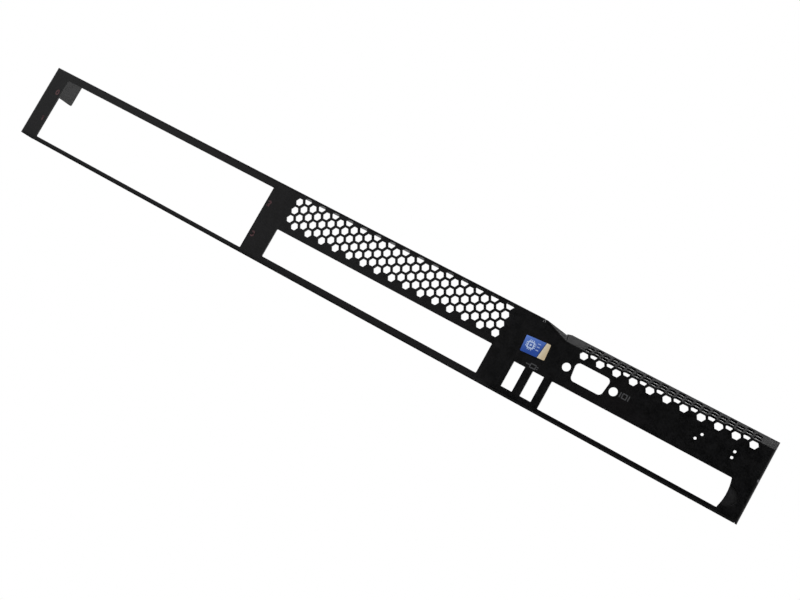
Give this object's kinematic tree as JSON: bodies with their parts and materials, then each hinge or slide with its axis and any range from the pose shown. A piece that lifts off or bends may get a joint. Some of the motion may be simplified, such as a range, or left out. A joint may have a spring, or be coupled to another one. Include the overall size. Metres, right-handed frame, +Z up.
{
  "type": "server front bezel",
  "caption": "Low rack-server front plate of folded black sheet steel with drive windows, a honeycomb grille running over a sloping top flange, port openings and rear end lugs.",
  "frame": {"origin": "middle of the bounding box's underside, midway along the length and the depth", "axes": "+X along the length, to the right as the face is read; +Y from the face to the rear; +Z up"},
  "size_m": [0.44, 0.0274, 0.043],
  "materials": {
    "bezel": "fine textured matt black powder coat",
    "badge": "printed film label, blue with a gold end"
  },
  "bodies": {
    "root": {"bezel": "bezel", "badge": "badge"}
  },
  "joints": []
}
